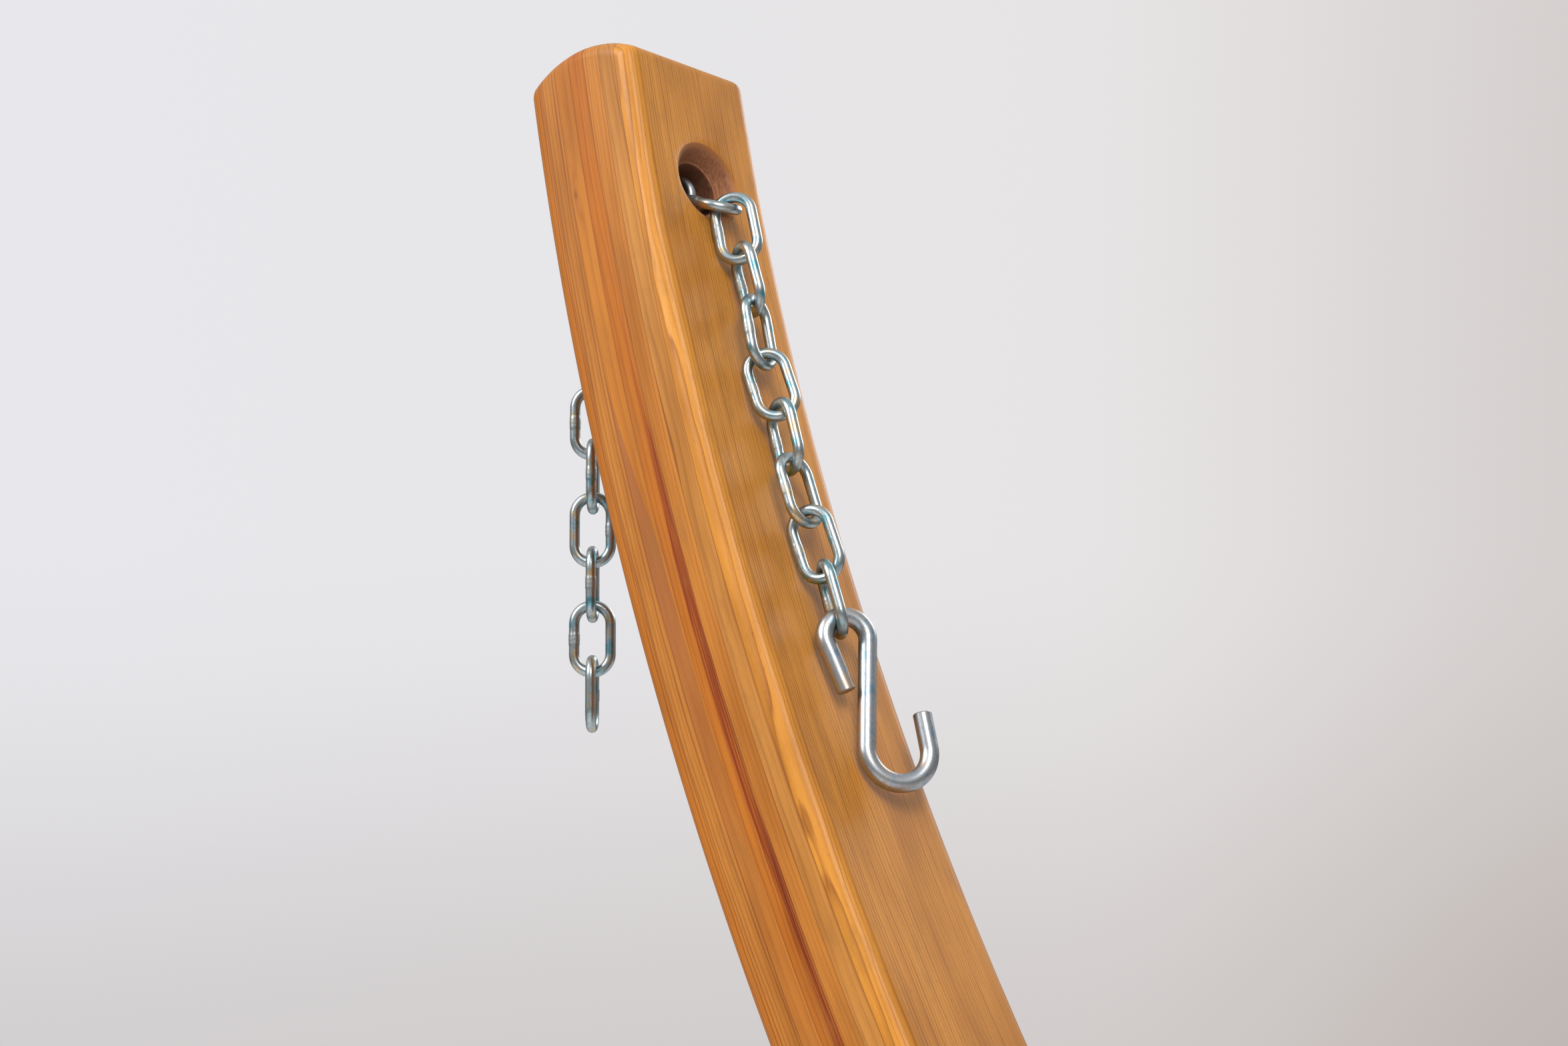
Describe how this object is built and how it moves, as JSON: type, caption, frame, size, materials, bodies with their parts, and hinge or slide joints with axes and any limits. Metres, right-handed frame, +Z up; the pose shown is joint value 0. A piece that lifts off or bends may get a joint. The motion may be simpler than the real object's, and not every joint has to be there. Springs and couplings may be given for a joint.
{
  "type": "porch swing stand",
  "caption": "Arc-shaped larch stand for a porch swing or hammock seat, with arched cross feet and chains through the arm tops ending in S-hooks.",
  "frame": {"origin": "on the ground under the middle of the arc", "axes": "+X along the arc's length from the left arm to the right arm, +Y across the stand, +Z up"},
  "size_m": [3.095, 1.2, 1.3245],
  "materials": {
    "larch": "oiled, satin",
    "chain": "bright zinc plated",
    "hook": "bright zinc plated",
    "plate": "galvanised",
    "fastener": "zinc plated"
  },
  "bodies": {
    "stand": {"arm_left": "larch", "foot_left": "larch", "foot_screw_front_left": "fastener", "foot_screw_back_left": "fastener", "bore_link_left": "chain", "arm_right": "larch", "foot_right": "larch", "foot_screw_front_right": "fastener", "foot_screw_back_right": "fastener", "bore_link_right": "chain", "splice_plate_front": "plate", "splice_plate_back": "plate", "splice_bolt_1": "fastener", "splice_nut_1": "fastener", "splice_bolt_2": "fastener", "splice_nut_2": "fastener", "splice_bolt_3": "fastener", "splice_nut_3": "fastener", "splice_bolt_4": "fastener", "splice_nut_4": "fastener"},
    "front_link_01_left": {"front_link_01_left": "chain"},
    "front_link_02_left": {"front_link_02_left": "chain"},
    "front_link_03_left": {"front_link_03_left": "chain"},
    "front_link_04_left": {"front_link_04_left": "chain"},
    "front_link_05_left": {"front_link_05_left": "chain"},
    "front_link_06_left": {"front_link_06_left": "chain"},
    "front_link_07_left": {"front_link_07_left": "chain"},
    "front_link_08_left": {"front_link_08_left": "chain"},
    "front_link_09_left": {"front_link_09_left": "chain"},
    "s_hook_left": {"s_hook_left": "hook"},
    "rear_link_01_left": {"rear_link_01_left": "chain"},
    "rear_link_02_left": {"rear_link_02_left": "chain"},
    "rear_link_03_left": {"rear_link_03_left": "chain"},
    "rear_link_04_left": {"rear_link_04_left": "chain"},
    "rear_link_05_left": {"rear_link_05_left": "chain"},
    "rear_link_06_left": {"rear_link_06_left": "chain"},
    "rear_link_07_left": {"rear_link_07_left": "chain"},
    "rear_link_08_left": {"rear_link_08_left": "chain"},
    "rear_link_09_left": {"rear_link_09_left": "chain"},
    "rear_link_10_left": {"rear_link_10_left": "chain"},
    "front_link_01_right": {"front_link_01_right": "chain"},
    "front_link_02_right": {"front_link_02_right": "chain"},
    "front_link_03_right": {"front_link_03_right": "chain"},
    "front_link_04_right": {"front_link_04_right": "chain"},
    "front_link_05_right": {"front_link_05_right": "chain"},
    "front_link_06_right": {"front_link_06_right": "chain"},
    "front_link_07_right": {"front_link_07_right": "chain"},
    "front_link_08_right": {"front_link_08_right": "chain"},
    "front_link_09_right": {"front_link_09_right": "chain"},
    "s_hook_right": {"s_hook_right": "hook"},
    "rear_link_01_right": {"rear_link_01_right": "chain"},
    "rear_link_02_right": {"rear_link_02_right": "chain"},
    "rear_link_03_right": {"rear_link_03_right": "chain"},
    "rear_link_04_right": {"rear_link_04_right": "chain"},
    "rear_link_05_right": {"rear_link_05_right": "chain"},
    "rear_link_06_right": {"rear_link_06_right": "chain"},
    "rear_link_07_right": {"rear_link_07_right": "chain"},
    "rear_link_08_right": {"rear_link_08_right": "chain"},
    "rear_link_09_right": {"rear_link_09_right": "chain"},
    "rear_link_10_right": {"rear_link_10_right": "chain"}
  },
  "joints": [
    {"name": "front_link_01_left_swing", "type": "hinge", "parent": "stand", "child": "front_link_01_left", "pos_m": [-1.47069, -0.0004, 1.25668], "axis": [0.1634, 0, -0.9866], "range_deg": [-4, 1]},
    {"name": "front_link_02_left_swing", "type": "hinge", "parent": "front_link_01_left", "child": "front_link_02_left", "pos_m": [-1.4468, 0.00126, 1.24545], "axis": [0.0257, -0.9962, -0.0829], "range_deg": [0, 60]},
    {"name": "front_link_03_left_swing", "type": "hinge", "parent": "front_link_02_left", "child": "front_link_03_left", "pos_m": [-1.43999, 0.00018, 1.22079], "axis": [-0.8564, -0.4691, -0.2159], "range_deg": [0, 9]},
    {"name": "front_link_04_left_swing", "type": "hinge", "parent": "front_link_03_left", "child": "front_link_04_left", "pos_m": [-1.43229, 0.0006, 1.19637], "axis": [0.8597, -0.4384, 0.2622], "range_deg": [0, 6]},
    {"name": "front_link_05_left_swing", "type": "hinge", "parent": "front_link_04_left", "child": "front_link_05_left", "pos_m": [-1.42751, 0.0006, 1.17119], "axis": [0.1701, -0.9848, 0.0349], "range_deg": [0, 18]},
    {"name": "front_link_06_left_swing", "type": "hinge", "parent": "front_link_05_left", "child": "front_link_06_left", "pos_m": [-1.4178, 0.0003, 1.14751], "axis": [-0.7117, -0.6427, -0.2836], "range_deg": [0, 18]},
    {"name": "front_link_07_left_swing", "type": "hinge", "parent": "front_link_06_left", "child": "front_link_07_left", "pos_m": [-1.41078, -0.00061, 1.12287], "axis": [0.8952, -0.3419, 0.2859], "range_deg": [0, 18]},
    {"name": "front_link_08_left_swing", "type": "hinge", "parent": "front_link_07_left", "child": "front_link_08_left", "pos_m": [-1.40236, -0.0004, 1.0987], "axis": [-0.0302, -0.9994, -0.0193], "range_deg": [0, 18]},
    {"name": "front_link_09_left_swing", "type": "hinge", "parent": "front_link_08_left", "child": "front_link_09_left", "pos_m": [-1.39315, 0.00021, 1.07482], "axis": [-0.8847, -0.3089, -0.349], "range_deg": [0, 18]},
    {"name": "s_hook_left_swing", "type": "hinge", "parent": "front_link_09_left", "child": "s_hook_left", "pos_m": [-1.38466, -0.0004, 1.05067], "axis": [0.718, -0.6427, 0.2671], "range_deg": [0, 30]},
    {"name": "rear_link_01_left_swing", "type": "hinge", "parent": "stand", "child": "rear_link_01_left", "pos_m": [-1.50157, -0.0002, 1.25157], "axis": [-0.1634, 0, 0.9866], "range_deg": [0, 3]},
    {"name": "rear_link_02_left_swing", "type": "hinge", "parent": "rear_link_01_left", "child": "rear_link_02_left", "pos_m": [-1.52486, 0.00139, 1.24063], "axis": [0.0482, 0.9986, 0.0198], "range_deg": [0, 25]},
    {"name": "rear_link_03_left_swing", "type": "hinge", "parent": "rear_link_02_left", "child": "rear_link_03_left", "pos_m": [-1.54206, 0.00489, 1.22199], "axis": [0.7222, 0.3388, -0.603], "range_deg": [-4, 6]},
    {"name": "rear_link_04_left_swing", "type": "hinge", "parent": "rear_link_03_left", "child": "rear_link_04_left", "pos_m": [-1.53823, 0.00411, 1.19484], "axis": [0.0523, 0.9986, 0], "range_deg": [-4, 16]},
    {"name": "rear_link_05_left_swing", "type": "hinge", "parent": "rear_link_04_left", "child": "rear_link_05_left", "pos_m": [-1.53823, 0.00411, 1.16924], "axis": [-0.848, 0.5299, 0], "range_deg": [-4, 16]},
    {"name": "rear_link_06_left_swing", "type": "hinge", "parent": "rear_link_05_left", "child": "rear_link_06_left", "pos_m": [-1.53823, 0.00411, 1.14364], "axis": [0.766, 0.6428, 0], "range_deg": [-4, 16]},
    {"name": "rear_link_07_left_swing", "type": "hinge", "parent": "rear_link_06_left", "child": "rear_link_07_left", "pos_m": [-1.53823, 0.00411, 1.11804], "axis": [-0.6428, 0.766, 0], "range_deg": [-4, 16]},
    {"name": "rear_link_08_left_swing", "type": "hinge", "parent": "rear_link_07_left", "child": "rear_link_08_left", "pos_m": [-1.53823, 0.00411, 1.09244], "axis": [0.766, 0.6428, 0], "range_deg": [-4, 16]},
    {"name": "rear_link_09_left_swing", "type": "hinge", "parent": "rear_link_08_left", "child": "rear_link_09_left", "pos_m": [-1.53823, 0.00411, 1.06684], "axis": [-0.6428, 0.766, 0], "range_deg": [-4, 16]},
    {"name": "rear_link_10_left_swing", "type": "hinge", "parent": "rear_link_09_left", "child": "rear_link_10_left", "pos_m": [-1.53823, 0.00411, 1.04124], "axis": [0.766, 0.6428, 0], "range_deg": [-4, 16]},
    {"name": "front_link_01_right_swing", "type": "hinge", "parent": "stand", "child": "front_link_01_right", "pos_m": [1.47069, 0.0004, 1.25668], "axis": [-0.1634, 0, -0.9866], "range_deg": [-4, 1]},
    {"name": "front_link_02_right_swing", "type": "hinge", "parent": "front_link_01_right", "child": "front_link_02_right", "pos_m": [1.4468, -0.00126, 1.24545], "axis": [-0.0257, 0.9962, -0.0829], "range_deg": [0, 60]},
    {"name": "front_link_03_right_swing", "type": "hinge", "parent": "front_link_02_right", "child": "front_link_03_right", "pos_m": [1.43999, -0.00018, 1.22079], "axis": [0.8564, 0.4691, -0.2159], "range_deg": [0, 9]},
    {"name": "front_link_04_right_swing", "type": "hinge", "parent": "front_link_03_right", "child": "front_link_04_right", "pos_m": [1.43229, -0.0006, 1.19637], "axis": [-0.8597, 0.4384, 0.2622], "range_deg": [0, 6]},
    {"name": "front_link_05_right_swing", "type": "hinge", "parent": "front_link_04_right", "child": "front_link_05_right", "pos_m": [1.42751, -0.0006, 1.17119], "axis": [-0.1701, 0.9848, 0.0349], "range_deg": [0, 18]},
    {"name": "front_link_06_right_swing", "type": "hinge", "parent": "front_link_05_right", "child": "front_link_06_right", "pos_m": [1.4178, -0.0003, 1.14751], "axis": [0.7117, 0.6427, -0.2836], "range_deg": [0, 18]},
    {"name": "front_link_07_right_swing", "type": "hinge", "parent": "front_link_06_right", "child": "front_link_07_right", "pos_m": [1.41078, 0.00061, 1.12287], "axis": [-0.8952, 0.3419, 0.2859], "range_deg": [0, 18]},
    {"name": "front_link_08_right_swing", "type": "hinge", "parent": "front_link_07_right", "child": "front_link_08_right", "pos_m": [1.40236, 0.0004, 1.0987], "axis": [0.0302, 0.9994, -0.0193], "range_deg": [0, 18]},
    {"name": "front_link_09_right_swing", "type": "hinge", "parent": "front_link_08_right", "child": "front_link_09_right", "pos_m": [1.39315, -0.00021, 1.07482], "axis": [0.8847, 0.3089, -0.349], "range_deg": [0, 18]},
    {"name": "s_hook_right_swing", "type": "hinge", "parent": "front_link_09_right", "child": "s_hook_right", "pos_m": [1.38466, 0.0004, 1.05067], "axis": [-0.718, 0.6427, 0.2671], "range_deg": [0, 30]},
    {"name": "rear_link_01_right_swing", "type": "hinge", "parent": "stand", "child": "rear_link_01_right", "pos_m": [1.50157, 0.0002, 1.25157], "axis": [0.1634, 0, 0.9866], "range_deg": [0, 3]},
    {"name": "rear_link_02_right_swing", "type": "hinge", "parent": "rear_link_01_right", "child": "rear_link_02_right", "pos_m": [1.52486, -0.00139, 1.24063], "axis": [-0.0482, -0.9986, 0.0198], "range_deg": [0, 25]},
    {"name": "rear_link_03_right_swing", "type": "hinge", "parent": "rear_link_02_right", "child": "rear_link_03_right", "pos_m": [1.54206, -0.00489, 1.22199], "axis": [-0.7222, -0.3388, -0.603], "range_deg": [-4, 6]},
    {"name": "rear_link_04_right_swing", "type": "hinge", "parent": "rear_link_03_right", "child": "rear_link_04_right", "pos_m": [1.53823, -0.00411, 1.19484], "axis": [-0.0523, -0.9986, 0], "range_deg": [-4, 16]},
    {"name": "rear_link_05_right_swing", "type": "hinge", "parent": "rear_link_04_right", "child": "rear_link_05_right", "pos_m": [1.53823, -0.00411, 1.16924], "axis": [0.848, -0.5299, 0], "range_deg": [-4, 16]},
    {"name": "rear_link_06_right_swing", "type": "hinge", "parent": "rear_link_05_right", "child": "rear_link_06_right", "pos_m": [1.53823, -0.00411, 1.14364], "axis": [-0.766, -0.6428, 0], "range_deg": [-4, 16]},
    {"name": "rear_link_07_right_swing", "type": "hinge", "parent": "rear_link_06_right", "child": "rear_link_07_right", "pos_m": [1.53823, -0.00411, 1.11804], "axis": [0.6428, -0.766, 0], "range_deg": [-4, 16]},
    {"name": "rear_link_08_right_swing", "type": "hinge", "parent": "rear_link_07_right", "child": "rear_link_08_right", "pos_m": [1.53823, -0.00411, 1.09244], "axis": [-0.766, -0.6428, 0], "range_deg": [-4, 16]},
    {"name": "rear_link_09_right_swing", "type": "hinge", "parent": "rear_link_08_right", "child": "rear_link_09_right", "pos_m": [1.53823, -0.00411, 1.06684], "axis": [0.6428, -0.766, 0], "range_deg": [-4, 16]},
    {"name": "rear_link_10_right_swing", "type": "hinge", "parent": "rear_link_09_right", "child": "rear_link_10_right", "pos_m": [1.53823, -0.00411, 1.04124], "axis": [-0.766, -0.6428, 0], "range_deg": [-4, 16]}
  ]
}
